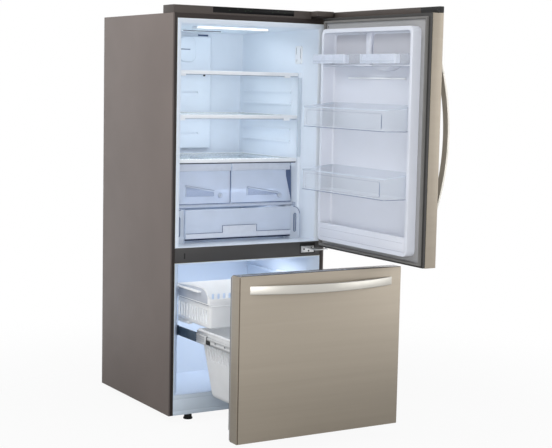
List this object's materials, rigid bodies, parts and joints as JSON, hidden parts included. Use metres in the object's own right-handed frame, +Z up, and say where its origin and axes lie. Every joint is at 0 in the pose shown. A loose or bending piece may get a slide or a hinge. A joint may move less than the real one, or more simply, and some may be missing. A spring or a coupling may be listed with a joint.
{
  "type": "bottom freezer refrigerator",
  "caption": "Bottom freezer refrigerator with a hinged door above, a pull-out freezer drawer below, glass shelves, clear drawers, door bins and slotted freezer baskets.",
  "frame": {"origin": "on the floor, under the centre of the object's bounding box as it rests with the door at a right angle and the freezer drawer out", "axes": "+Z up, +Y from the front to the back of the cabinet, +X to the right as seen from the front"},
  "size_m": [0.8374, 1.4794, 1.742],
  "materials": {
    "case_paint": "fine textured enamel, taupe",
    "frame_paint": "satin enamel, dark brown",
    "stainless": "brushed, warm grey",
    "handle_metal": "satin",
    "galvanised": "zinc plated sheet",
    "liner_white": "smooth moulded, soft gloss",
    "trim_white": "moulded, soft gloss",
    "clear": "clear moulded",
    "shelf_glass": "clear tempered",
    "trim_grey": "satin moulded",
    "display_black": "gloss",
    "black_plastic": "moulded, matt",
    "gasket": "soft extruded profile, matt",
    "foam": "rigid foam, porous",
    "light_lens": "frosted diffuser",
    "compressor_steel": "black enamel",
    "fin_metal": "thin bright fins",
    "slide_steel": "zinc plated"
  },
  "bodies": {
    "cabinet": {"outer_case": "case_paint", "face_frame": "frame_paint", "mullion_rail": "trim_grey", "sill_panel": "trim_white", "back_panel": "galvanised", "machine_cover": "galvanised", "base_pan": "galvanised", "insulation": "foam", "fridge_liner": "liner_white", "freezer_liner": "liner_white", "upper_shelf_frame": "trim_white", "upper_shelf_glass": "shelf_glass", "lower_shelf_frame": "trim_white", "lower_shelf_glass": "shelf_glass", "drawer_housing": "trim_white", "crisper_cover_glass": "shelf_glass", "air_duct_cover": "trim_white", "ceiling_light": "light_lens", "freezer_duct_cover": "trim_white", "evaporator": "fin_metal", "compressor": "compressor_steel", "drain_tray": "black_plastic", "condenser": "fin_metal", "fan_motor_shroud": "black_plastic", "control_cover": "trim_grey", "control_panel": "display_black", "hinge_cover": "trim_grey", "top_hinge": "galvanised", "middle_hinge": "galvanised", "slide_rail_left": "slide_steel", "slide_rail_right": "slide_steel"},
    "refrigerator_door": {"door_skin": "stainless", "door_insulation": "foam", "door_liner": "liner_white", "door_gasket": "gasket", "door_top_cap": "trim_grey", "door_handle": "handle_metal", "door_bin_small_outer": "clear", "door_bin_small_hinge": "clear", "door_bin_middle": "clear", "door_bin_lower": "clear"},
    "freezer_drawer": {"drawer_skin": "stainless", "drawer_insulation": "foam", "drawer_liner": "liner_white", "drawer_gasket": "gasket", "drawer_handle": "handle_metal", "lower_basket": "trim_white", "drawer_bracket_left": "slide_steel", "drawer_bracket_right": "slide_steel"},
    "left_middle_slide": {"slide_middle_left": "slide_steel"},
    "right_middle_slide": {"slide_middle_right": "slide_steel"},
    "freezer_upper_basket": {"upper_basket": "trim_white"},
    "left_crisper": {"crisper_left": "clear"},
    "right_crisper": {"crisper_right": "clear"},
    "pantry": {"pantry_drawer": "clear"},
    "left_foot": {"foot_left": "black_plastic"},
    "right_foot": {"foot_right": "black_plastic"},
    "left_roller": {"roller_left": "black_plastic"},
    "right_roller": {"roller_right": "black_plastic"},
    "fan": {"condenser_fan": "black_plastic"}
  },
  "joints": [
    {"name": "refrigerator_door_hinge", "type": "hinge", "parent": "cabinet", "child": "refrigerator_door", "pos_m": [0.32235, 0.00135, 1.2], "axis": [0, 0, 1], "range_deg": [-90, 30]},
    {"name": "freezer_drawer_slide", "type": "slide", "parent": "cabinet", "child": "freezer_drawer", "axis": [0, -1, 0], "range_m": [-0.506, 0.044]},
    {"name": "left_middle_slide_run", "type": "slide", "parent": "cabinet", "child": "left_middle_slide", "axis": [0, -1, 0], "range_m": [-0.253, 0.022]},
    {"name": "right_middle_slide_run", "type": "slide", "parent": "cabinet", "child": "right_middle_slide", "axis": [0, -1, 0], "range_m": [-0.253, 0.022]},
    {"name": "freezer_basket_slide", "type": "slide", "parent": "cabinet", "child": "freezer_upper_basket", "axis": [0, -1, 0], "range_m": [-0.23782, 0.02068]},
    {"name": "left_crisper_slide", "type": "slide", "parent": "cabinet", "child": "left_crisper", "axis": [0, -1, 0], "range_m": [0, 0.23]},
    {"name": "right_crisper_slide", "type": "slide", "parent": "cabinet", "child": "right_crisper", "axis": [0, -1, 0], "range_m": [0, 0.23]},
    {"name": "pantry_slide", "type": "slide", "parent": "cabinet", "child": "pantry", "axis": [0, -1, 0], "range_m": [0, 0.23]},
    {"name": "left_foot_turn", "type": "hinge", "parent": "cabinet", "child": "left_foot", "pos_m": [-0.30665, 0.08335, 0.02], "axis": [0, 0, 1], "continuous": true},
    {"name": "right_foot_turn", "type": "hinge", "parent": "cabinet", "child": "right_foot", "pos_m": [0.22535, 0.08335, 0.02], "axis": [0, 0, 1], "continuous": true},
    {"name": "left_roller_spin", "type": "hinge", "parent": "cabinet", "child": "left_roller", "pos_m": [-0.34865, 0.68335, 0.014], "axis": [1, 0, 0], "continuous": true},
    {"name": "right_roller_spin", "type": "hinge", "parent": "cabinet", "child": "right_roller", "pos_m": [0.26735, 0.68335, 0.014], "axis": [1, 0, 0], "continuous": true},
    {"name": "condenser_fan_spin", "type": "hinge", "parent": "cabinet", "child": "fan", "pos_m": [-0.06865, 0.61535, 0.1423], "axis": [1, 0, 0], "continuous": true}
  ],
  "couplings": [
    {"joint": "left_middle_slide_run", "follows": "freezer_drawer_slide", "ratio": 0.5},
    {"joint": "right_middle_slide_run", "follows": "freezer_drawer_slide", "ratio": 0.5},
    {"joint": "freezer_basket_slide", "follows": "freezer_drawer_slide", "ratio": 0.47}
  ]
}
